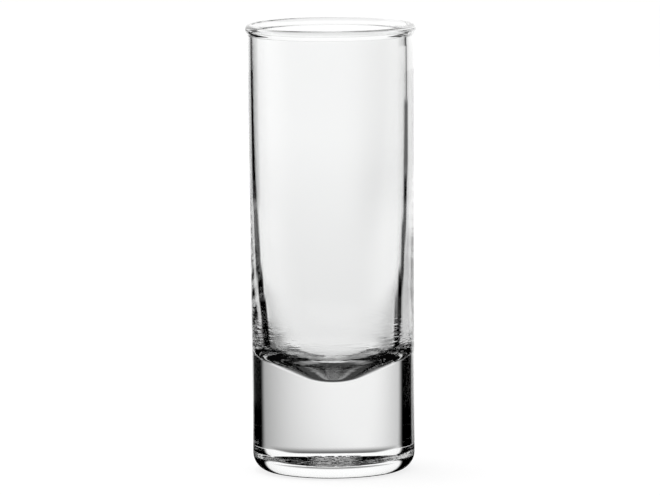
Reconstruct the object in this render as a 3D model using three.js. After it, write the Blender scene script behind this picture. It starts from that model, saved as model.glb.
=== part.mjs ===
// A tall, straight-sided liqueur glass of clear soda-lime glass with a heavy solid base.
//
// Millimetres, +Z up. The axis of the glass is Z, and it stands on the plane Z = 0.
// Every zone of the glass is turned about that axis from an outline of (radius, height) points.

import * as THREE from 'three';

// Whole glass: its height, the bowl's mouth, and the wall round it at the rim
const OVERALL_HEIGHT = 105;
const MOUTH_RADIUS = 17.85;
const WALL_THICKNESS = 1.57;

// Outside: drawn in a little from the rim to the heel, which is rounded
const WALL_TAPER = 0.46;
const HEEL_RADIUS = 4.2;

// Rim: a round bead, flush with the bowl inside and standing proud of the wall outside
const BEAD_PROUD = 0.58;
const BEAD_BLEND_HEIGHT = 1.4;

// Bowl: nearly straight at the rim, narrowing ever faster towards a shallow conical floor
const BASE_THICKNESS = 21.4;
const FLOOR_SLOPE = THREE.MathUtils.degToRad(28);
const FLOOR_TIP_RADIUS = 10;
const BOWL_NARROWING = 4;
const NARROWING_POWER = 3;
const FLOOR_CORNER_REACH = 3;

// Underside: a flat ring to stand on, round a shallow hollow
const STANDING_RING_WIDTH = 3;
const UNDERSIDE_HOLLOW_DEPTH = 0.7;

// Fineness of the turned outlines
const TURN_SEGMENTS = 72;
const ARC_STEPS = 8;
const WALL_STEPS = 14;

const WALL_TOP_RADIUS = MOUTH_RADIUS + WALL_THICKNESS;
const RIM_RADIUS = WALL_TOP_RADIUS + BEAD_PROUD;
const BASE_RADIUS = WALL_TOP_RADIUS - WALL_TAPER;
const BEAD_RADIUS = (WALL_THICKNESS + BEAD_PROUD) / 2;
const BEAD_CENTRE_HEIGHT = OVERALL_HEIGHT - BEAD_RADIUS;
const WALL_TOP_HEIGHT = BEAD_CENTRE_HEIGHT - BEAD_BLEND_HEIGHT;
const FLOOR_EDGE_RADIUS = MOUTH_RADIUS - BOWL_NARROWING;
const FLOOR_EDGE_HEIGHT = floorHeight(FLOOR_EDGE_RADIUS);
const BASE_TOP_HEIGHT = FLOOR_EDGE_HEIGHT + FLOOR_CORNER_REACH;
const STANDING_RING_RADIUS = BASE_RADIUS - HEEL_RADIUS;

/** Radius of the straight, slightly tapered outside wall at a height. */
function outsideRadius(height) {
  const share = (height - HEEL_RADIUS) / (WALL_TOP_HEIGHT - HEEL_RADIUS);
  return THREE.MathUtils.lerp(BASE_RADIUS, WALL_TOP_RADIUS, share);
}

/** Radius of the bowl's side at a height, from its floor's edge up to the bead. */
function bowlRadius(height) {
  const depthShare = (BEAD_CENTRE_HEIGHT - height) / (BEAD_CENTRE_HEIGHT - FLOOR_EDGE_HEIGHT);
  return MOUTH_RADIUS - BOWL_NARROWING * depthShare ** NARROWING_POWER;
}

/** Height of the bowl's conical floor at a radius, outside its rounded tip. */
function floorHeight(radius) {
  const apexHeight = BASE_THICKNESS + FLOOR_TIP_RADIUS * (1 - 1 / Math.cos(FLOOR_SLOPE));
  return apexHeight + radius * Math.tan(FLOOR_SLOPE);
}

/** Points of an arc about a centre, from one angle to another. */
function arcPoints(centreRadius, centreHeight, arcRadius, startAngle, endAngle) {
  const points = [];
  for (let step = 0; step <= ARC_STEPS; step += 1) {
    const angle = THREE.MathUtils.lerp(startAngle, endAngle, step / ARC_STEPS);
    points.push(new THREE.Vector2(
      centreRadius + arcRadius * Math.cos(angle),
      centreHeight + arcRadius * Math.sin(angle),
    ));
  }
  return points;
}

/** Points down the bowl's side between two heights. */
function bowlSidePoints(topHeight, bottomHeight) {
  const points = [];
  for (let step = 0; step <= WALL_STEPS; step += 1) {
    const height = THREE.MathUtils.lerp(topHeight, bottomHeight, step / WALL_STEPS);
    points.push(new THREE.Vector2(bowlRadius(height), height));
  }
  return points;
}

/** Turns an outline about the glass's axis. */
function turned(outline) {
  const geometry = new THREE.LatheGeometry(outline, TURN_SEGMENTS);
  geometry.rotateX(Math.PI / 2);
  return geometry;
}

/** The bead: a half-round lip whose outside runs down in a soft double curve to the wall. */
function rimBeadOutline() {
  const sweep = 2 * Math.atan2(BEAD_PROUD, BEAD_BLEND_HEIGHT);
  const blendRadius = BEAD_BLEND_HEIGHT / (2 * Math.sin(sweep));
  const hollow = arcPoints(
    WALL_TOP_RADIUS + blendRadius, WALL_TOP_HEIGHT, blendRadius, Math.PI, Math.PI - sweep,
  );
  const swell = arcPoints(RIM_RADIUS - blendRadius, BEAD_CENTRE_HEIGHT, blendRadius, -sweep, 0);
  const lip = arcPoints(RIM_RADIUS - BEAD_RADIUS, BEAD_CENTRE_HEIGHT, BEAD_RADIUS, 0, Math.PI);
  const foot = new THREE.Vector2(bowlRadius(WALL_TOP_HEIGHT), WALL_TOP_HEIGHT);
  return [...hollow, ...swell.slice(1), ...lip.slice(1), foot, hollow[0].clone()];
}

/** The side wall: straight outside, thickening downwards inside. */
function sideWallOutline() {
  const bowlSide = bowlSidePoints(WALL_TOP_HEIGHT, BASE_TOP_HEIGHT);
  const bottom = new THREE.Vector2(outsideRadius(BASE_TOP_HEIGHT), BASE_TOP_HEIGHT);
  const top = new THREE.Vector2(outsideRadius(WALL_TOP_HEIGHT), WALL_TOP_HEIGHT);
  return [bottom, top, ...bowlSide, bottom.clone()];
}

/** The heavy base: hollowed underside, standing ring, rounded heel, and the floor of the bowl. */
function heavyBaseOutline() {
  const ringInside = STANDING_RING_RADIUS - STANDING_RING_WIDTH;
  const underside = [];
  for (let step = 0; step <= ARC_STEPS; step += 1) {
    const radius = ringInside * step / ARC_STEPS;
    const rise = UNDERSIDE_HOLLOW_DEPTH * (1 - (radius / ringInside) ** 2);
    underside.push(new THREE.Vector2(radius, rise));
  }
  const heel = arcPoints(STANDING_RING_RADIUS, HEEL_RADIUS, HEEL_RADIUS, -Math.PI / 2, 0);
  const shoulder = new THREE.Vector2(outsideRadius(BASE_TOP_HEIGHT), BASE_TOP_HEIGHT);
  const cornerTop = new THREE.Vector2(bowlRadius(BASE_TOP_HEIGHT), BASE_TOP_HEIGHT);
  const corner = new THREE.Vector2(FLOOR_EDGE_RADIUS, FLOOR_EDGE_HEIGHT);
  const cornerFootRadius = FLOOR_EDGE_RADIUS - FLOOR_CORNER_REACH;
  const cornerFoot = new THREE.Vector2(cornerFootRadius, floorHeight(cornerFootRadius));
  const bowlCorner = new THREE.QuadraticBezierCurve(cornerTop, corner, cornerFoot).getPoints(ARC_STEPS);
  const tip = arcPoints(
    0, BASE_THICKNESS + FLOOR_TIP_RADIUS, FLOOR_TIP_RADIUS, FLOOR_SLOPE - Math.PI / 2, -Math.PI / 2,
  );
  tip[tip.length - 1].x = 0;
  return [...underside, ...heel, shoulder, ...bowlCorner, ...tip];
}

/** Clear glass with the faint green-grey of soda-lime. */
function clearGlass() {
  return new THREE.MeshStandardMaterial({
    color: 0xf1f5f3,
    roughness: 0.03,
    metalness: 0,
    transparent: true,
    opacity: 0.35,
  });
}

/** One zone of the glass as a named mesh. */
function zone(name, outline) {
  const mesh = new THREE.Mesh(turned(outline), clearGlass());
  mesh.name = name;
  return mesh;
}

const liqueurGlass = new THREE.Group();
liqueurGlass.add(
  zone('heavy_base', heavyBaseOutline()),
  zone('side_wall', sideWallOutline()),
  zone('rim_bead', rimBeadOutline()),
);

export default liqueurGlass;
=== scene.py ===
"""A tall clear liqueur glass with a heavy base, standing on a white studio table."""

import logging
import math
from dataclasses import dataclass
from enum import Enum

import bpy
from mathutils import Matrix, Vector


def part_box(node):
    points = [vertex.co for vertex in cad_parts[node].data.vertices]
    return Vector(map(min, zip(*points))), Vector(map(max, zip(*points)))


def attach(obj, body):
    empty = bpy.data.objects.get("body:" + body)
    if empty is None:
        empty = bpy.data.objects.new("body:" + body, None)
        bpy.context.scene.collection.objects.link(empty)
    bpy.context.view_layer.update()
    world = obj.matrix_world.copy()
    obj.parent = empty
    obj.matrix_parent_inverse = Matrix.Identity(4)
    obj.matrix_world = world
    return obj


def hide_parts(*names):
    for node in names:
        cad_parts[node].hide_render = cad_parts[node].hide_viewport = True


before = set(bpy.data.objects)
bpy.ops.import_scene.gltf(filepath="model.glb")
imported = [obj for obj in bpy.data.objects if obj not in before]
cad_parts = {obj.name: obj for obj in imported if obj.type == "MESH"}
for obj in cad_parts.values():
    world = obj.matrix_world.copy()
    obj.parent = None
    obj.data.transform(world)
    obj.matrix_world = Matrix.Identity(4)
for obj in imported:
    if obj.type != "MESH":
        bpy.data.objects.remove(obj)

MM = 0.001
LOG = logging.getLogger("liqueur_glass")

# Limits between whole counts of a ray's crossings or mirrorings
ONE_OR_MORE = 0.5
TWO_OR_MORE = 1.5
THREE_OR_MORE = 2.5

# How often light is followed, in all and by kind
MOST_TURNS = 96
MOST_MIRRORINGS = 80
MOST_CROSSINGS = 24

# Radii on the table: the glass's foot, the dark close round it, and beyond the table's edge
FOOT_RADIUS = 20 * MM
OPEN_RADIUS = 44 * MM
FAR_OFF = 90.0

# White, and its brightness far from the glass
WHITE = (1.0, 1.0, 1.0, 1.0)
FAR_WHITE = 1.1

# Sockets of a Mix node that mixes colours
MIX_FIRST, MIX_SECOND, MIX_RESULT = 6, 7, 2

Outline = list[tuple[float, float]]
Socket = bpy.types.NodeSocket
Number = float | Socket


class Zone(Enum):
    """The zones of the glass, by the names of their solids."""

    RIM = "rim_bead"
    WALL = "side_wall"
    BASE = "heavy_base"


class Side(Enum):
    """A side of the glass, seen from the camera."""

    LEFT = -1
    RIGHT = 1


class Axis(Enum):
    """The direction that a part of a mesh is pushed in."""

    ALONG_X = "X"
    ALONG_NORMAL = "NORMAL"


class Ray(Enum):
    """A way through the glass, by how often light crosses its surface and is mirrored inside."""

    THROUGH_BASE = "across the solid base"
    ALONG_WALL = "mirrored once inside the wall"
    THROUGH_BOWL = "across the wall, the bowl and the wall again"
    MIRRORED_OFTEN = "mirrored more than once inside the glass"
    ANY = "any way"


def smooth_step(low: float, high: float, value: float) -> float:
    """Ease from 0 at one value to 1 at another.

    Args:
        low: value that gives 0.
        high: value that gives 1.
        value: value to look up.

    Returns:
        A share from 0 to 1.
    """
    share = min(max((value - low) / (high - low), 0.0), 1.0)
    return share * share * (3.0 - 2.0 * share)


def arc(centre: tuple[float, float], radius: float, start: float, end: float,
        steps: int) -> Outline:
    """Points of an arc in the plane of an outline.

    Args:
        centre: radius and height of the arc's centre.
        radius: the arc's own radius.
        start: angle of the first point, in radians from straight out.
        end: angle of the last point.
        steps: number of steps between them.

    Returns:
        The arc's points, both ends included.
    """
    points = []
    for step in range(steps + 1):
        angle = start + (end - start) * step / steps
        points.append((centre[0] + radius * math.cos(angle), centre[1] + radius * math.sin(angle)))
    return points


def bend(start: tuple[float, float], corner: tuple[float, float], end: tuple[float, float],
         steps: int) -> Outline:
    """Points of a curve that rounds off a corner.

    Args:
        start: radius and height of the point before the curve.
        corner: the corner that the curve cuts off.
        end: the curve's last point.
        steps: number of steps from start to end.

    Returns:
        The curve's points, without its start.
    """
    points = []
    for step in range(1, steps + 1):
        share = step / steps
        weights = ((1 - share) ** 2, 2 * share * (1 - share), share ** 2)
        points.append(tuple(
            sum(weight * point[part] for weight, point in zip(weights, (start, corner, end)))
            for part in (0, 1)
        ))
    return points


def deselect_all() -> None:
    """Leave no object selected."""
    if bpy.context.mode != "OBJECT":
        bpy.ops.object.mode_set(mode="OBJECT")
    bpy.ops.object.select_all(action="DESELECT")


@dataclass(frozen=True)
class NodeMaker:
    """Adds shader nodes to a tree and links their inputs."""

    tree: bpy.types.NodeTree

    def add(self, kind: str, settings: dict[str, object] | None = None,
            **inputs: object) -> bpy.types.Node:
        """Add one node.

        Args:
            kind: the node's type name.
            settings: the node's own properties.
            **inputs: values or other nodes' sockets, by the input's name with _ for a space.

        Returns:
            The new node.
        """
        node = self.tree.nodes.new(kind)
        for name, value in (settings or {}).items():
            setattr(node, name, value)
        for name, value in inputs.items():
            self.feed(node, name.replace("_", " "), value)
        return node

    def feed(self, node: bpy.types.Node, socket: str | int, value: object) -> None:
        """Set or link one input of a node.

        Args:
            node: the node.
            socket: name or number of the input.
            value: a value, or another node's socket.
        """
        target = node.inputs[socket]
        if isinstance(value, Socket):
            self.tree.links.new(value, target)
        else:
            target.default_value = value

    def math(self, operation: str, *values: Number) -> Socket:
        """Work out a number.

        Args:
            operation: the Math node's operation.
            *values: the numbers or sockets that it takes, in order.

        Returns:
            The result's socket.
        """
        node = self.add("ShaderNodeMath", {"operation": operation})
        for index, value in enumerate(values):
            self.feed(node, index, value)
        return node.outputs[0]

    def product(self, first: Number, *others: Number) -> Socket:
        """Multiply numbers.

        Args:
            first: the first number or socket.
            *others: one or more numbers or sockets to multiply it by.

        Returns:
            The result's socket.
        """
        for other in others:
            first = self.math("MULTIPLY", first, other)
        return first

    def rest(self, share: Number) -> Socket:
        """What a share leaves of 1."""
        return self.math("SUBTRACT", 1.0, share)

    def length(self, x: Socket, y: Socket) -> Socket:
        """Length of a line that goes x across and y back."""
        squares = self.math("ADD", self.math("MULTIPLY", x, x), self.math("MULTIPLY", y, y))
        return self.math("SQRT", squares)

    def axes(self, place: Socket) -> tuple[Socket, ...]:
        """The X, Y and Z of a place or direction."""
        return tuple(self.add("ShaderNodeSeparateXYZ", Vector=place).outputs)

    def place(self, space: str = "Object") -> Socket:
        """The shaded place, in the coordinates of the object or of another named space."""
        return self.add("ShaderNodeTexCoord").outputs[space]

    def path(self, name: str) -> Socket:
        """One fact about the ray's path so far, by its name on the Light Path node."""
        return self.add("ShaderNodeLightPath").outputs[name]

    def noise(self, place: Socket, size: float, detail: float) -> Socket:
        """Cloudy noise with patches of about the given size."""
        node = self.add("ShaderNodeTexNoise", Vector=place, Scale=1 / size, Detail=detail)
        return node.outputs["Fac"]

    def off_glass(self) -> Socket:
        """1 for a ray that has come through or off the glass, and 0 for the rest."""
        return self.math("MAXIMUM", self.path("Is Glossy Ray"), self.path("Is Transmission Ray"))

    def came(self, ray: Ray) -> Socket:
        """1 for a ray that came in the given way, and 0 for the rest.

        Args:
            ray: the way through the glass.

        Returns:
            The result's socket.
        """
        crossings, mirrors = self.path("Transmission Depth"), self.path("Glossy Depth")
        if ray is Ray.THROUGH_BOWL:
            return self.math("GREATER_THAN", crossings, THREE_OR_MORE)
        if ray is Ray.MIRRORED_OFTEN:
            return self.math("GREATER_THAN", mirrors, TWO_OR_MORE)
        inside = self.math("GREATER_THAN", crossings, ONE_OR_MORE)
        if ray is Ray.ANY:
            return inside
        solid = self.product(inside, self.math("LESS_THAN", crossings, THREE_OR_MORE))
        if ray is Ray.THROUGH_BASE:
            return self.product(solid, self.math("LESS_THAN", mirrors, ONE_OR_MORE))
        return self.product(
            solid, self.math("GREATER_THAN", mirrors, ONE_OR_MORE),
            self.math("LESS_THAN", mirrors, TWO_OR_MORE),
        )

    def ease(self, value: Number, low: float, high: float, start: Number = 0.0,
             end: Number = 1.0) -> Socket:
        """Ease from one number to another as a value goes from low to high.

        Args:
            value: the number or socket to follow.
            low: value that gives start.
            high: value that gives end.
            start: result at low, as a number or socket.
            end: result at high.

        Returns:
            The result's socket.
        """
        node = self.add("ShaderNodeMapRange", {"interpolation_type": "SMOOTHSTEP"})
        for index, number in enumerate((value, low, high, start, end)):
            self.feed(node, index, number)
        return node.outputs[0]

    def bump(self, height: Socket, depth: float, under: Socket | None = None) -> Socket:
        """Raise the surface in the shading.

        Args:
            height: height of the bump at each place, from 0 to 1.
            depth: how far a height of 1 stands up.
            under: the bump that this one lies on, or None for the plain surface.

        Returns:
            The raised surface's normal.
        """
        node = self.add("ShaderNodeBump", Height=height, Strength=1.0, Distance=depth)
        if under is not None:
            self.feed(node, "Normal", under)
        return node.outputs["Normal"]

    def shader(self, kind: str, **inputs: object) -> Socket:
        """Add a shader, and give its output."""
        return self.add(kind, **inputs).outputs[0]

    def mix(self, share: Number, first: Socket, second: Socket) -> Socket:
        """Mix two shaders.

        Args:
            share: how much of the second one shows, from 0 to 1.
            first: the shader at 0.
            second: the shader at 1.

        Returns:
            The mixed shader's output.
        """
        node = self.add("ShaderNodeMixShader", Fac=share)
        self.feed(node, 1, first)
        self.feed(node, 2, second)
        return node.outputs[0]

    def screen(self, shown: Socket, level: Number) -> Socket:
        """A shader of the given brightness where shown is 1, and clear where it is 0."""
        light = self.shader("ShaderNodeEmission", Strength=level)
        return self.mix(shown, self.shader("ShaderNodeBsdfTransparent"), light)

    def close(self, surface: Socket, kind: str = "ShaderNodeOutputMaterial") -> None:
        """Make a shader the tree's result."""
        self.feed(self.add(kind), "Surface", surface)


def new_material(name: str) -> tuple[bpy.types.Material, NodeMaker]:
    """Make a material that has no nodes yet.

    Args:
        name: the material's name.

    Returns:
        The material, and the maker of its nodes.
    """
    material = bpy.data.materials.new(name)
    material.use_nodes = True
    material.node_tree.nodes.clear()
    return material, NodeMaker(material.node_tree)


@dataclass(frozen=True)
class ClearGlass:
    """Clear soda-lime glass: sharp and colourless, with faint waves and handling marks."""

    name: str = "clear_glass"
    tint: tuple[float, float, float] = (0.992, 0.995, 0.994)
    thick_tint: tuple[float, float, float] = (0.985, 0.990, 0.989)
    thick_height: float = 30 * MM
    refractive_index: float = 1.52

    # Handling marks: rough where their noise is strong
    polish: float = 0.0
    marks: float = 0.012
    mark_size: float = 7 * MM
    mark_detail: float = 5.0
    marks_start: float = 0.5
    marks_full: float = 0.85

    # Waves all over
    wave_size: float = 11 * MM
    wave_detail: float = 1.0
    wave_height: float = 0.004 * MM

    # Stippled patch in the middle of the heel's far side, very faint elsewhere round the foot
    stipple_top: float = 2.4 * MM
    stipple_fade: float = 0.4 * MM
    stipple_size: float = 0.3 * MM
    stipple_detail: float = 0.0
    stipple_depth: float = 0.3 * MM
    stipple_faint: float = 0.03
    stipple_back_start: float = -2 * MM
    stipple_back_full: float = 4 * MM
    stipple_width: float = 1.6 * MM
    stipple_side: float = 2.4 * MM

    # Waves round the corner of the bowl's floor
    chill_size: float = 3.5 * MM
    chill_detail: float = 2.0
    chill_flatness: float = 6.0
    chill_depth: float = 0.06 * MM
    chill_bottom: float = 23 * MM
    chill_full: float = 26 * MM
    chill_fade: float = 31 * MM
    chill_top: float = 38 * MM
    bowl_limit: float = 17.2 * MM
    bowl_limit_soft: float = 0.5 * MM

    def material(self) -> bpy.types.Material:
        """Make the finish.

        Returns:
            The material.
        """
        material, make = new_material(self.name)
        place = make.place()
        height = make.axes(place)[2]
        thin = make.ease(height, 0.0, self.thick_height)
        colour = make.add("ShaderNodeMix", {"data_type": "RGBA"}, Factor=thin)
        make.feed(colour, MIX_FIRST, (*self.thick_tint, 1.0))
        make.feed(colour, MIX_SECOND, (*self.tint, 1.0))
        marks = make.noise(place, self.mark_size, self.mark_detail)
        roughness = make.ease(marks, self.marks_start, self.marks_full, self.polish, self.marks)
        waves = make.noise(place, self.wave_size, self.wave_detail)
        surface = make.bump(waves, self.wave_height)
        surface = make.bump(self.chill_waves(make, place), self.chill_depth, surface)
        surface = make.bump(self.stipple(make, place), self.stipple_depth, surface)
        make.close(make.shader(
            "ShaderNodeBsdfPrincipled", Base_Color=colour.outputs[MIX_RESULT], Roughness=roughness,
            IOR=self.refractive_index, Transmission_Weight=1.0, Normal=surface,
        ))
        return material

    def stipple(self, make: NodeMaker, place: Socket) -> Socket:
        """Fine dots at the foot.

        Args:
            make: maker of the nodes.
            place: place on the glass.

        Returns:
            Height of the dots, as a socket.
        """
        x, y, height = make.axes(place)
        aside = make.math("ABSOLUTE", x)
        return make.product(
            make.noise(place, self.stipple_size, self.stipple_detail),
            make.ease(height, self.stipple_top - self.stipple_fade, self.stipple_top, 1.0, 0.0),
            make.ease(y, self.stipple_back_start, self.stipple_back_full, self.stipple_faint, 1.0),
            make.ease(aside, self.stipple_width, self.stipple_side, 1.0, self.stipple_faint),
        )

    def chill_waves(self, make: NodeMaker, place: Socket) -> Socket:
        """Flat waves round the corner of the bowl's floor, where the plunger chilled the glass.

        Args:
            make: maker of the nodes.
            place: place on the glass.

        Returns:
            Height of the waves, as a socket.
        """
        stretch = (1.0, 1.0, self.chill_flatness)
        flat = make.add("ShaderNodeMapping", Vector=place, Scale=stretch).outputs[0]
        x, y, height = make.axes(place)
        limit = self.bowl_limit + self.bowl_limit_soft
        return make.product(
            make.noise(flat, self.chill_size, self.chill_detail),
            make.ease(height, self.chill_bottom, self.chill_full),
            make.ease(height, self.chill_fade, self.chill_top, 1.0, 0.0),
            make.ease(make.length(x, y), self.bowl_limit, limit, 1.0, 0.0),
        )


@dataclass
class LiqueurGlass:
    """The glass, drawn as one outline and spun about its axis, so that it has no seam.

    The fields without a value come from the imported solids, which the glass stands for.
    """

    height: float
    rim_radius: float
    wall_top_radius: float
    wall_top_height: float
    base_top_radius: float
    base_top_height: float
    bead_thickness: float = 2.15 * MM
    heel_radius: float = 4.2 * MM
    base_thickness: float = 21.4 * MM
    floor_slope: float = math.radians(28)
    floor_tip_radius: float = 10 * MM
    bowl_narrowing: float = 4 * MM
    narrowing_power: float = 3.0
    corner_reach: float = 3 * MM
    ring_width: float = 3 * MM
    underside_hollow: float = 0.7 * MM

    # Unevenness of the bowl
    bowl_shift: float = -0.38 * MM
    floor_fade: float = 14 * MM
    skin: float = 0.5 * MM
    ripple_height: float = 0.05 * MM
    ripple_size: float = 22 * MM

    # Fineness of the mesh, and the distance under which its points are joined
    hollow_steps: int = 12
    heel_steps: int = 20
    wall_steps: int = 40
    blend_steps: int = 8
    lip_steps: int = 24
    side_steps: int = 34
    corner_steps: int = 14
    cone_steps: int = 6
    tip_steps: int = 10
    spin_steps: int = 256
    weld: float = 0.002 * MM

    finish: ClearGlass = ClearGlass()

    @classmethod
    def from_frame(cls) -> "LiqueurGlass":
        """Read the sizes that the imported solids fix.

        Returns:
            The glass at its real size.
        """
        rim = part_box(Zone.RIM.value)[1]
        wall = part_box(Zone.WALL.value)[1]
        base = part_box(Zone.BASE.value)[1]
        return cls(
            height=rim.z, rim_radius=rim.x, wall_top_radius=wall.x, wall_top_height=wall.z,
            base_top_radius=base.x, base_top_height=base.z,
        )

    def outside_radius(self, height: float) -> float:
        """Radius of the straight outside wall at a height.

        Args:
            height: height above the table.

        Returns:
            The radius.
        """
        widening = self.wall_top_radius - self.base_top_radius
        taper = widening / (self.wall_top_height - self.base_top_height)
        return self.base_top_radius + taper * (height - self.base_top_height)

    def floor_height(self, radius: float) -> float:
        """Height of the bowl's conical floor at a radius, outside its rounded tip."""
        apex = self.base_thickness + self.floor_tip_radius * (1 - 1 / math.cos(self.floor_slope))
        return apex + radius * math.tan(self.floor_slope)

    @property
    def bead_centre_height(self) -> float:
        """Height of the round lip's centre."""
        return self.height - self.bead_thickness / 2

    @property
    def mouth_radius(self) -> float:
        """Radius of the bowl at the lip."""
        return self.rim_radius - self.bead_thickness

    @property
    def floor_edge_radius(self) -> float:
        """Radius where the bowl's side would meet its floor without the round."""
        return self.mouth_radius - self.bowl_narrowing

    @property
    def ring_radius(self) -> float:
        """Outer radius of the ring that the glass stands on."""
        return self.outside_radius(self.heel_radius) - self.heel_radius

    def bowl_radius(self, height: float) -> float:
        """Radius of the bowl's side at a height.

        Args:
            height: height above the table.

        Returns:
            The radius.
        """
        floor_edge = self.floor_height(self.floor_edge_radius)
        depth = (self.bead_centre_height - height) / (self.bead_centre_height - floor_edge)
        return self.mouth_radius - self.bowl_narrowing * depth ** self.narrowing_power

    def outer_outline(self) -> Outline:
        """Underside, standing ring, heel and wall, from the axis up to the bead.

        Returns:
            Radius and height of each point.
        """
        ring_inside = self.ring_radius - self.ring_width
        points = []
        for step in range(self.hollow_steps):
            radius = ring_inside * step / self.hollow_steps
            points.append((radius, self.underside_hollow * (1 - (radius / ring_inside) ** 2)))
        points.append((ring_inside, 0.0))
        heel_centre = (self.ring_radius, self.heel_radius)
        points += arc(heel_centre, self.heel_radius, -math.pi / 2, 0.0, self.heel_steps)
        wall_height = self.wall_top_height - self.heel_radius
        for step in range(1, self.wall_steps):
            height = self.heel_radius + wall_height * step / self.wall_steps
            points.append((self.outside_radius(height), height))
        return points

    def bead_outline(self) -> Outline:
        """The bead: out from the wall in a double curve, then round the lip.

        Returns:
            Radius and height of each point.
        """
        centre_height = self.bead_centre_height
        blend_height = centre_height - self.wall_top_height
        sweep = 2 * math.atan2(self.rim_radius - self.wall_top_radius, blend_height)
        blend = blend_height / (2 * math.sin(sweep))
        lip = self.bead_thickness / 2
        hollow_centre = (self.wall_top_radius + blend, self.wall_top_height)
        swell_centre = (self.rim_radius - blend, centre_height)
        lip_centre = (self.rim_radius - lip, centre_height)
        points = arc(hollow_centre, blend, math.pi, math.pi - sweep, self.blend_steps)
        points += arc(swell_centre, blend, -sweep, 0.0, self.blend_steps)[1:]
        return points + arc(lip_centre, lip, 0.0, math.pi, self.lip_steps)[1:]

    def bowl_outline(self) -> Outline:
        """The inside of the bowl, from under the lip down to its tip on the axis.

        Returns:
            Radius and height of each point.
        """
        corner = (self.floor_edge_radius, self.floor_height(self.floor_edge_radius))
        side_height = corner[1] + self.corner_reach - self.bead_centre_height
        points = []
        for step in range(1, self.side_steps + 1):
            height = self.bead_centre_height + side_height * step / self.side_steps
            points.append((self.bowl_radius(height), height))
        foot_radius = self.floor_edge_radius - self.corner_reach
        foot = (foot_radius, self.floor_height(foot_radius))
        points += bend(points[-1], corner, foot, self.corner_steps)
        tip_centre = (0.0, self.base_thickness + self.floor_tip_radius)
        tip = arc(
            tip_centre, self.floor_tip_radius, self.floor_slope - math.pi / 2, -math.pi / 2,
            self.tip_steps,
        )
        for step in range(1, self.cone_steps):
            radius = foot_radius + (tip[0][0] - foot_radius) * step / self.cone_steps
            points.append((radius, self.floor_height(radius)))
        return points + tip[:-1] + [(0.0, self.base_thickness)]

    def draw(self, outline: Outline) -> bpy.types.Object:
        """Draw an outline as a chain of extruded points.

        Args:
            outline: radius and height of each point.

        Returns:
            The new object, in edit mode with its outline selected.
        """
        deselect_all()
        bpy.ops.mesh.primitive_plane_add(size=self.rim_radius)
        piece = bpy.context.active_object
        piece.name = piece.data.name = "liqueur_glass"
        bpy.ops.object.mode_set(mode="EDIT")
        bpy.ops.mesh.select_all(action="SELECT")
        bpy.ops.mesh.merge(type="CENTER")
        bpy.ops.transform.translate(value=(outline[0][0], 0.0, outline[0][1]))
        for here, there in zip(outline, outline[1:]):
            step = (there[0] - here[0], 0.0, there[1] - here[1])
            bpy.ops.mesh.extrude_region_move(TRANSFORM_OT_translate={"value": step})
        bpy.ops.mesh.select_all(action="SELECT")
        return piece

    def spin(self) -> None:
        """Spin the drawn outline, still selected in edit mode, into a closed glass."""
        bpy.ops.mesh.spin(
            steps=self.spin_steps, angle=math.tau, center=(0.0, 0.0, 0.0), axis=(0.0, 0.0, 1.0),
        )
        bpy.ops.mesh.select_all(action="SELECT")
        bpy.ops.mesh.remove_doubles(threshold=self.weld)
        bpy.ops.mesh.normals_make_consistent(inside=False)
        bpy.ops.mesh.select_all(action="DESELECT")
        bpy.ops.object.mode_set(mode="OBJECT")
        bpy.ops.object.shade_smooth()

    def push(self, piece: bpy.types.Object, name: str, axis: Axis, strength: float,
             texture: bpy.types.Texture | None = None) -> None:
        """Push the vertices of one group, each by its weight.

        Args:
            piece: the spun glass.
            name: name of the vertex group.
            axis: direction of the push.
            strength: how far it goes.
            texture: pattern that varies the push, or None for the same push all over.
        """
        modifier = piece.modifiers.new(name, "DISPLACE")
        modifier.vertex_group = name
        modifier.direction = axis.value
        modifier.strength = strength
        # A pattern pushes both ways about its middle
        modifier.mid_level = 0.5 if texture else 0.0
        modifier.texture = texture
        modifier.texture_coords = "LOCAL"
        bpy.ops.object.modifier_apply(modifier=name)

    def uneven(self, piece: bpy.types.Object) -> None:
        """Give the bowl the unevenness of formed glass: off centre, with long shallow ripples.

        Args:
            piece: the spun glass.
        """
        aside = piece.vertex_groups.new(name="off_centre")
        bowl = piece.vertex_groups.new(name="bowl")
        floor_edge = self.floor_height(self.floor_edge_radius)
        ripple_full = self.wall_top_height - self.floor_fade
        for vertex in piece.data.vertices:
            x, y, z = vertex.co
            radius = math.hypot(x, y)
            inside = radius < self.outside_radius(z) - self.skin
            if z > self.bead_centre_height:
                inward = smooth_step(self.rim_radius, self.mouth_radius, radius)
                aside.add([vertex.index], inward, "REPLACE")
            elif inside and z > self.base_thickness - self.skin:
                below_rim = smooth_step(self.wall_top_height, ripple_full, z)
                bowl.add([vertex.index], below_rim, "REPLACE")
                above_floor = smooth_step(floor_edge, floor_edge + self.floor_fade, z)
                aside.add([vertex.index], above_floor, "REPLACE")
        self.push(piece, "off_centre", Axis.ALONG_X, self.bowl_shift)
        ripples = bpy.data.textures.new("bowl_ripples", "CLOUDS")
        ripples.noise_scale = self.ripple_size
        ripples.noise_depth = 0
        self.push(piece, "bowl", Axis.ALONG_NORMAL, self.ripple_height, ripples)

    def build(self) -> bpy.types.Object:
        """Make the whole glass.

        Returns:
            The glass, at the origin and unturned.
        """
        piece = self.draw(self.outer_outline() + self.bead_outline() + self.bowl_outline())
        self.spin()
        self.uneven(piece)
        return piece

    def dress(self, piece: bpy.types.Object) -> None:
        """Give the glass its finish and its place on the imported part.

        Args:
            piece: the finished glass.
        """
        piece.data.materials.clear()
        piece.data.materials.append(self.finish.material())
        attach(piece, "root")
        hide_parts(*(zone.value for zone in Zone))


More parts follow.
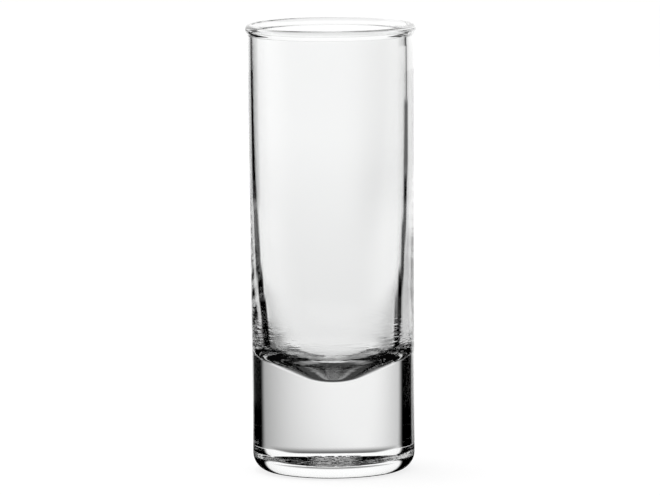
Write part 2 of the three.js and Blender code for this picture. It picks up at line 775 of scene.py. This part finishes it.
@dataclass(frozen=True)
class DarkBoard:
    """A dark area of the table, or of the surround beyond it, that draws the glass's edges.

    Its angles are in degrees from straight back towards its side, measured at the glass's axis or
    at a pivot beside it. Only rays that came through the glass in one way see it.
    """

    side: Side
    start: float
    full: float
    end: float
    near: float = 0.0
    far: float = FAR_OFF
    soft: float = 40 * MM
    pivot_across: float = 0.0
    pivot_back: float = 0.0
    seen_by: Ray = Ray.ANY
    depth: float = 1.0
    end_soft: float = 6.0

    def shade(self, make: NodeMaker, x: Socket, y: Socket, distance: Socket | None) -> Socket:
        """How much of the white the board covers.

        Args:
            make: maker of the nodes.
            x: place or direction across, positive to the right.
            y: place or direction back.
            distance: distance from the glass's axis, or None beyond the table.

        Returns:
            The share covered, as a socket.
        """
        across = make.math("MULTIPLY_ADD", x, float(self.side.value), self.pivot_across)
        angle = make.math("ARCTAN2", across, make.math("SUBTRACT", y, self.pivot_back))
        limits = (self.start, self.full, self.end, self.end + self.end_soft)
        start, full, end, clear = (math.radians(limit) for limit in limits)
        cover = make.product(
            make.came(self.seen_by), self.depth,
            make.ease(angle, start, full), make.ease(angle, end, clear, 1.0, 0.0),
        )
        if distance is None:
            return cover
        return make.product(
            cover, make.ease(distance, self.near - self.soft, self.near),
            make.ease(distance, self.far, self.far + self.soft, 1.0, 0.0),
        )


@dataclass(frozen=True)
class BaseBoard(DarkBoard):
    """A dark area seen across the solid base."""

    near: float = 30 * MM
    far: float = 200 * MM
    soft: float = 6 * MM
    pivot_across: float = 8.4 * MM
    pivot_back: float = 14.5 * MM
    seen_by: Ray = Ray.THROUGH_BASE


@dataclass(frozen=True)
class WallBoard(DarkBoard):
    """A dark area seen by rays that were mirrored once inside the wall."""

    seen_by: Ray = Ray.ALONG_WALL


@dataclass(frozen=True)
class BowlBoard(DarkBoard):
    """A dark area seen across the bowl."""

    seen_by: Ray = Ray.THROUGH_BOWL


@dataclass(frozen=True)
class StandingBoard:
    """A black board that stands behind the glass and shows only across its solid base."""

    name: str
    left: float
    right: float
    bottom: float = 113 * MM
    top: float = 180 * MM
    distance: float = 60 * MM
    level: float = 0.0
    seen_by: Ray = Ray.THROUGH_BASE

    def build(self) -> bpy.types.Object:
        """Make the board.

        Returns:
            The board's object.
        """
        deselect_all()
        middle = ((self.left + self.right) / 2, self.distance, (self.bottom + self.top) / 2)
        bpy.ops.mesh.primitive_plane_add(
            size=1.0, location=middle, rotation=(math.pi / 2, 0.0, 0.0),
        )
        board = bpy.context.active_object
        board.name = board.data.name = self.name
        board.scale = (self.right - self.left, self.top - self.bottom, 1.0)
        bpy.ops.object.transform_apply(location=True, rotation=True, scale=True)
        material, make = new_material(self.name)
        make.close(make.screen(make.came(self.seen_by), self.level))
        board.data.materials.append(material)
        board.visible_camera = board.visible_diffuse = board.visible_shadow = False
        return board


@dataclass(frozen=True)
class RingBoard:
    """A board bent round the glass's axis, seen only by rays of one way through the glass.

    Its level may rise from foot_level at its bottom to level at full_height. It is black beyond
    half_width to either side, and clear to rays that ran farther than farthest from the glass.
    """

    name: str
    radius: float
    bottom: float
    top: float
    seen_by: Ray
    level: float
    foot_level: float | None = None
    full_height: float = 0.0
    top_soft: float = 0.1 * MM
    half_width: float = FAR_OFF
    side_soft: float = 1 * MM
    farthest: float = FAR_OFF
    far_soft: float = 0.16 * MM
    segments: int = 256

    def build(self) -> bpy.types.Object:
        """Make the ring.

        Returns:
            The ring's object.
        """
        deselect_all()
        bpy.ops.mesh.primitive_cylinder_add(
            vertices=self.segments, radius=self.radius, depth=self.top - self.bottom,
            end_fill_type="NOTHING", location=(0.0, 0.0, (self.bottom + self.top) / 2),
        )
        ring = bpy.context.active_object
        ring.name = ring.data.name = self.name
        bpy.ops.object.transform_apply(location=True, rotation=False, scale=False)
        bpy.ops.object.shade_smooth()
        ring.data.materials.append(self.material())
        ring.visible_camera = ring.visible_diffuse = ring.visible_shadow = False
        return ring

    def material(self) -> bpy.types.Material:
        """Shaded to the rays that the ring is for, and clear to the rest.

        Returns:
            The material.
        """
        material, make = new_material(self.name)
        x, _, height = make.axes(make.place())
        aside = make.math("ABSOLUTE", x)
        run = make.path("Ray Length")
        shown = make.product(
            make.came(self.seen_by),
            make.ease(height, self.top - self.top_soft, self.top, 1.0, 0.0),
            make.ease(run, self.farthest, self.farthest + self.far_soft, 1.0, 0.0),
        )
        level = self.level
        if self.foot_level is not None:
            level = make.ease(height, self.bottom, self.full_height, self.foot_level, self.level)
        middle = make.ease(aside, self.half_width, self.half_width + self.side_soft, 1.0, 0.0)
        make.close(make.screen(shown, make.product(level, middle)))
        return material


@dataclass(frozen=True)
class Room:
    """How much of the white room the glass sees: less by reflection, and none where boards are."""

    # Rays mirrored in the glass more than once see painted dark, but less so after countless
    # mirrorings or on a ring of the table
    often_level: float = 0.008
    countless_mirrors: float = 14.5
    countless_level: float = 0.85
    ring_level: float = 0.95
    ring_radius: float = 95 * MM
    ring_outer_radius: float = 200 * MM
    ring_soft: float = 25 * MM

    # The dark side before the glass, by the angle from straight back
    front_start: float = math.radians(60)
    front_full: float = math.radians(130)

    # How far to each side the outside of the glass mirrors the white table
    sheen_angle: float = math.radians(26)
    far_sheen_left: float = math.radians(21)
    far_sheen_right: float = math.radians(45)
    sheen_near: float = 150 * MM
    sheen_far: float = 300 * MM
    sheen_soft: float = math.radians(6)

    def mirrored_level(self, make: NodeMaker, countless: Socket,
                       distance: Socket | None) -> Socket:
        """How bright the white is to a ray, by how often the ray was mirrored in the glass.

        Args:
            make: maker of the nodes.
            countless: 1 for a ray that was mirrored countless times.
            distance: distance from the glass's axis, or None beyond the table.

        Returns:
            The brightness, as a socket: 1 for a ray mirrored once or never.
        """
        often = make.ease(countless, 0.0, 1.0, self.often_level, self.countless_level)
        if distance is not None:
            # A ring on the table where such rays see painted light instead of the painted dark
            ring_end = self.ring_outer_radius + self.ring_soft
            ring = make.product(
                make.ease(distance, self.ring_radius - self.ring_soft, self.ring_radius),
                make.ease(distance, self.ring_outer_radius, ring_end, self.ring_level, 0.0),
            )
            often = make.math("MINIMUM", make.math("ADD", often, ring), 1.0)
        return make.rest(make.product(make.came(Ray.MIRRORED_OFTEN), make.rest(often)))

    def front_cover(self, make: NodeMaker, turn: Socket, countless: Socket,
                    distance: Socket | None) -> Socket:
        """How much of the white the dark side before the glass covers to a mirrored ray.

        Args:
            make: maker of the nodes.
            turn: angle from straight back.
            countless: 1 for a ray that was mirrored countless times.
            distance: distance from the glass's axis, or None beyond the table.

        Returns:
            The share covered, as a socket.
        """
        cover = make.product(
            make.math("GREATER_THAN", make.path("Transmission Depth"), TWO_OR_MORE),
            make.math("GREATER_THAN", make.path("Glossy Depth"), ONE_OR_MORE),
            make.ease(make.math("ABSOLUTE", turn), self.front_start, self.front_full),
            make.rest(countless),
        )
        if distance is None:
            return cover
        return make.product(cover, make.ease(distance, FOOT_RADIUS, OPEN_RADIUS))

    def sheen_covers(self, make: NodeMaker, turn: Socket, distance: Socket) -> list[Socket]:
        """How much of the white table is dark to the reflection on the outside of the glass.

        Args:
            make: maker of the nodes.
            turn: angle from straight back, positive to the right.
            distance: distance from the glass's axis.

        Returns:
            The share covered on each side, as sockets.
        """
        outside = make.math("LESS_THAN", make.path("Transmission Depth"), ONE_OR_MORE)
        covers = []
        for side, far in ((Side.LEFT, self.far_sheen_left), (Side.RIGHT, self.far_sheen_right)):
            limit = make.ease(distance, self.sheen_near, self.sheen_far, self.sheen_angle, far)
            aside = make.math("MULTIPLY", turn, float(side.value))
            beyond = make.math("SUBTRACT", aside, limit)
            dark = make.ease(beyond, -self.sheen_soft, self.sheen_soft)
            covers.append(make.product(dark, outside))
        return covers

    def uncovered(self, make: NodeMaker, boards: tuple[DarkBoard, ...], x: Socket, y: Socket,
                  distance: Socket | None = None) -> Socket:
        """How much of the white the glass sees between the boards and the other dark areas.

        Args:
            make: maker of the nodes.
            boards: the boards that cover the white.
            x: place or direction across, positive to the right.
            y: place or direction back.
            distance: distance from the glass's axis, or None beyond the table.

        Returns:
            The share seen, as a socket.
        """
        turn = make.math("ARCTAN2", x, y)
        countless = make.math("GREATER_THAN", make.path("Glossy Depth"), self.countless_mirrors)
        covers = [board.shade(make, x, y, distance) for board in boards]
        if distance is not None:
            covers += self.sheen_covers(make, turn, distance)
        covers.append(self.front_cover(make, turn, countless, distance))
        level = self.mirrored_level(make, countless, distance)
        return make.product(level, *(make.rest(cover) for cover in covers))


@dataclass(frozen=True)
class Table:
    """The white table that the glass stands on, with the dark boards that lie on it."""

    name: str = "white_table"
    size: float = 60.0
    shade: float = 0.9

    # Light that the table adds for the eye, which keeps the glass's shadow soft
    eye_level: float = 1.1
    eye_share: float = 0.72

    # What the glass sees: its painted shadow and painted light under and round itself, then white
    # close by and far off
    painted_shadow_level: float = 0.06
    under_edge: float = 2 * MM
    glow_level: float = 0.25
    glow_inner: float = 9 * MM
    glow_rise: float = 4 * MM
    glow_outer: float = 18 * MM
    glow_fall: float = 2 * MM
    front_light: float = 0.5
    front_light_start: float = -10 * MM
    front_light_full: float = -13 * MM
    bowl_shade_level: float = 0.5
    bowl_near_radius: float = 5 * MM
    bowl_open_radius: float = 36 * MM
    near_level: float = 0.95
    far_level: float = FAR_WHITE
    far_radius: float = 0.7

    base_boards: tuple[DarkBoard, ...] = (
        BaseBoard(Side.RIGHT, 0, 56, 74, depth=0.55),
        BaseBoard(Side.RIGHT, 47, 55, 74),
        BaseBoard(Side.LEFT, 42, 49, 66),
        BaseBoard(Side.LEFT, 20, 45, 74, depth=0.3),
    )
    wall_boards: tuple[DarkBoard, ...] = (
        WallBoard(Side.LEFT, 22, 30, 52, 340 * MM, FAR_OFF, 60 * MM),
        WallBoard(Side.LEFT, 26, 31, 47, 170 * MM, 290 * MM, 50 * MM),
        WallBoard(Side.LEFT, 33, 38, 53, 120 * MM, 150 * MM, 30 * MM),
        WallBoard(Side.LEFT, 35, 41, 58, 0.0, 105 * MM, 20 * MM),
        WallBoard(Side.RIGHT, 36, 40, 58, 1300 * MM, FAR_OFF, 60 * MM),
        WallBoard(Side.RIGHT, 36, 38, 38, 850 * MM, 1300 * MM, 90 * MM, depth=0.8),
        WallBoard(Side.RIGHT, 33, 35, 46, 450 * MM, 760 * MM, 90 * MM, depth=0.8),
        WallBoard(Side.RIGHT, 35, 38, 44, 250 * MM, 380 * MM, 70 * MM),
        WallBoard(Side.RIGHT, 39, 42, 48, 160 * MM, 235 * MM, 55 * MM),
        WallBoard(Side.RIGHT, 43, 47, 54, 125 * MM, 145 * MM, 25 * MM),
        WallBoard(Side.RIGHT, 46, 50, 63, 0.0, 110 * MM, 25 * MM),
        WallBoard(Side.RIGHT, 0, 40, 60, depth=0.25),
    )
    corner_boards: tuple[DarkBoard, ...] = (
        *(BowlBoard(side, 18, 34, 100, 20 * MM, 70 * MM, 14 * MM, depth=0.6) for side in Side),
        *(WallBoard(side, 18, 34, 100, 20 * MM, 70 * MM, 14 * MM, depth=0.8) for side in Side),
        BowlBoard(Side.LEFT, 8, 40, 100, 70 * MM, 130 * MM, 40 * MM, depth=0.4),
        BowlBoard(Side.RIGHT, 4, 40, 100, 70 * MM, 130 * MM, 40 * MM, depth=0.5),
        BowlBoard(Side.LEFT, 2, 8, 60, 500 * MM, FAR_OFF, 300 * MM, depth=0.06),
        BowlBoard(Side.RIGHT, 2, 8, 60, 500 * MM, FAR_OFF, 300 * MM, depth=0.16),
    )
    room: Room = Room()

    def near_shade(self, make: NodeMaker, y: Socket, distance: Socket) -> Socket:
        """How bright the glass sees the table under itself and close by, with its painted shadow
        and light.

        Args:
            make: maker of the nodes.
            y: place on the table, positive to the back.
            distance: distance from the glass's axis.

        Returns:
            The brightness, as a socket.
        """
        inner, outer = self.glow_inner, self.glow_outer
        # The glass's painted shadow on the table, darkest under its foot
        shade = make.ease(distance, FOOT_RADIUS, OPEN_RADIUS, self.painted_shadow_level, 1.0)
        # Painted light under the front edge of the foot
        under_front = make.product(
            make.ease(y, self.front_light_full, self.front_light_start, self.front_light, 0.0),
            make.ease(distance, FOOT_RADIUS - self.under_edge, FOOT_RADIUS, 1.0, 0.0),
        )
        # A painted ring of light round the foot
        glow = make.product(
            make.ease(distance, inner, inner + self.glow_rise, 0.0, self.glow_level),
            make.ease(distance, outer - self.glow_fall, outer, 1.0, 0.0),
        )
        shade = make.math("ADD", make.math("ADD", shade, under_front), glow)
        # Painted shade close round the glass, for rays across the bowl
        in_bowl = make.ease(
            distance, self.bowl_near_radius, self.bowl_open_radius, self.bowl_shade_level, 1.0,
        )
        return make.ease(make.came(Ray.THROUGH_BOWL), 0.0, 1.0, shade, in_bowl)

    def material(self) -> bpy.types.Material:
        """White to the eye with the glass's soft shadow; to the glass, white between boards,
        painted shadow and light.

        Returns:
            The material.
        """
        material, make = new_material(self.name)
        x, y, _ = make.axes(make.place())
        distance = make.length(x, y)
        boards = self.base_boards + self.wall_boards + self.corner_boards
        # To the glass the table glows, with the glass's painted shadow and painted light close by
        level = make.product(
            self.near_shade(make, y, distance),
            make.ease(distance, OPEN_RADIUS, self.far_radius, self.near_level, self.far_level),
            self.room.uncovered(make, boards, x, y, distance),
        )
        lit = make.shader("ShaderNodeBsdfDiffuse", Color=(*[self.shade] * 3, 1.0))
        glow = make.shader("ShaderNodeEmission", Strength=self.eye_level)
        seen = make.shader("ShaderNodeEmission", Strength=level)
        eye = make.mix(make.path("Is Camera Ray"), lit, make.mix(self.eye_share, lit, glow))
        make.close(make.mix(make.off_glass(), eye, seen))
        return material

    def build(self) -> bpy.types.Object:
        """Make the table.

        Returns:
            The table's object.
        """
        deselect_all()
        bpy.ops.mesh.primitive_plane_add(size=self.size)
        table = bpy.context.active_object
        table.name = table.data.name = self.name
        table.data.materials.append(self.material())
        return table


@dataclass(frozen=True)
class Surround:
    """The room round the table: white, with dark boards and ceiling that only the glass sees."""

    light_level: float = 0.75
    white_level: float = FAR_WHITE

    # The ceiling starts lower before the glass than behind it
    ceiling: float = math.radians(42)
    front_ceiling: float = math.radians(14)
    ceiling_turn: float = 0.3
    ceiling_soft: float = 0.04
    ceiling_level: float = 0.0

    boards: tuple[DarkBoard, ...] = (
        DarkBoard(Side.LEFT, 43, 49, 85),
        DarkBoard(Side.RIGHT, 45, 51, 85),
        *(WallBoard(side, 18, 26, 56) for side in Side),
    )
    room: Room = Room()

    def build(self) -> None:
        """Make the world."""
        world = bpy.data.worlds.new("studio_surround")
        bpy.context.scene.world = world
        world.use_nodes = True
        world.node_tree.nodes.clear()
        make = NodeMaker(world.node_tree)
        x, y, height = make.axes(make.place("Generated"))
        front, back = math.sin(self.front_ceiling), math.sin(self.ceiling)
        ceiling = make.ease(y, -self.ceiling_turn, self.ceiling_turn, front, back)
        below_ceiling = make.ease(
            make.math("SUBTRACT", height, ceiling), -self.ceiling_soft, self.ceiling_soft,
            self.white_level, self.ceiling_level,
        )
        level = make.product(below_ceiling, self.room.uncovered(make, self.boards, x, y))
        seen = make.shader("ShaderNodeBackground", Color=WHITE, Strength=level)
        lighting = make.shader("ShaderNodeBackground", Color=WHITE, Strength=self.light_level)
        eye = make.shader("ShaderNodeBackground", Color=WHITE, Strength=1.0)
        plain = make.mix(make.path("Is Camera Ray"), lighting, eye)
        make.close(make.mix(make.off_glass(), plain, seen), "ShaderNodeOutputWorld")


@dataclass(frozen=True)
class SoftLamp:
    """A wide round lamp over the table, which the glass doesn't mirror."""

    name: str = "soft_lamp"
    place: tuple[float, float, float] = (-0.35, 0.25, 1.5)
    size: float = 1.2
    power: float = 9.0

    def build(self) -> bpy.types.Object:
        """Make the lamp, turned to the glass.

        Returns:
            The lamp's object.
        """
        deselect_all()
        bpy.ops.object.light_add(type="AREA", location=self.place)
        lamp = bpy.context.active_object
        lamp.name = lamp.data.name = self.name
        lamp.data.shape = "DISK"
        lamp.data.size = self.size
        lamp.data.energy = self.power
        lamp.rotation_euler = (-lamp.location).to_track_quat("-Z", "Y").to_euler()
        lamp.visible_glossy = lamp.visible_transmission = False
        return lamp


@dataclass(frozen=True)
class Studio:
    """The table, its surround and its lamp, and the boards that stand round the glass."""

    table: Table = Table()
    surround: Surround = Surround()
    lamp: SoftLamp = SoftLamp()
    standing_boards: tuple[StandingBoard, ...] = (
        StandingBoard("left_high_board", left=-120 * MM, right=-26 * MM),
        StandingBoard("right_high_board", left=26 * MM, right=120 * MM),
    )
    rings: tuple[RingBoard, ...] = (
        # A dark band just round the foot, seen across the base: painted shade near the glass's
        # foot
        RingBoard(
            "low_shade_ring", radius=19.6 * MM, bottom=2.86 * MM, top=4.3 * MM,
            seen_by=Ray.THROUGH_BASE, level=0.16, top_soft=1.35 * MM, farthest=0.92 * MM,
        ),
        # A dark collar round the heel, grey only straight before and behind it: painted shade at
        # the glass's foot
        RingBoard(
            "heel_shade_ring", radius=18.75 * MM, bottom=0.0, top=2.25 * MM,
            seen_by=Ray.THROUGH_BASE, level=0.4, top_soft=0.06 * MM,
            half_width=1.1 * MM, side_soft=0.7 * MM,
        ),
        # A bright band that only rays mirrored often in the glass see: painted light in the ends
        # of the bead
        RingBoard(
            "rim_light_ring", radius=60 * MM, bottom=90 * MM, top=116 * MM,
            seen_by=Ray.MIRRORED_OFTEN, level=0.9, foot_level=0.5, full_height=104 * MM,
        ),
    )

    def build(self) -> None:
        """Set up everything round the glass."""
        self.table.build()
        self.surround.build()
        self.lamp.build()
        for board in self.standing_boards + self.rings:
            board.build()


@dataclass
class PhotoCamera:
    """A long-lens camera a little above the rim, as the photograph was taken."""

    distance: float = 1633.3 * MM
    height: float = 252.2 * MM
    aim_height: float = 52.46 * MM
    aside: float = -0.53 * MM
    roll: float = -0.0083
    focal_pixels: float = 7017.5
    image_width_pixels: float = 660.0
    sensor_width: float = 36.0

    def build(self) -> bpy.types.Object:
        """Make the camera and use it.

        Returns:
            The camera's object.
        """
        data = bpy.data.cameras.new("photo_camera")
        data.sensor_width = self.sensor_width
        data.lens = self.focal_pixels * self.sensor_width / self.image_width_pixels
        camera = bpy.data.objects.new("photo_camera", data)
        bpy.context.scene.collection.objects.link(camera)
        place = Vector((self.aside, -self.distance, self.height))
        aim = Vector((self.aside, 0.0, self.aim_height)) - place
        turn = aim.to_track_quat("-Z", "Y").to_matrix() @ Matrix.Rotation(self.roll, 3, "Z")
        camera.matrix_world = Matrix.Translation(place) @ turn.to_4x4()
        bpy.context.scene.camera = camera
        return camera


def set_light_paths() -> None:
    """Follow light until it has left the glass again, and show it by the plain transform."""
    cycles = bpy.context.scene.cycles
    cycles.max_bounces = MOST_TURNS
    cycles.glossy_bounces = MOST_MIRRORINGS
    cycles.transmission_bounces = MOST_CROSSINGS
    bpy.context.scene.view_settings.view_transform = "Standard"


def main() -> None:
    """Build the glass, its studio and its camera."""
    logging.basicConfig(level=logging.INFO, format="%(message)s")
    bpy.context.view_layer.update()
    glass = LiqueurGlass.from_frame()
    piece = glass.build()
    glass.dress(piece)
    LOG.info("%s: %d faces", piece.name, len(piece.data.polygons))
    Studio().build()
    PhotoCamera().build()
    set_light_paths()


if __name__ == "__main__":
    main()
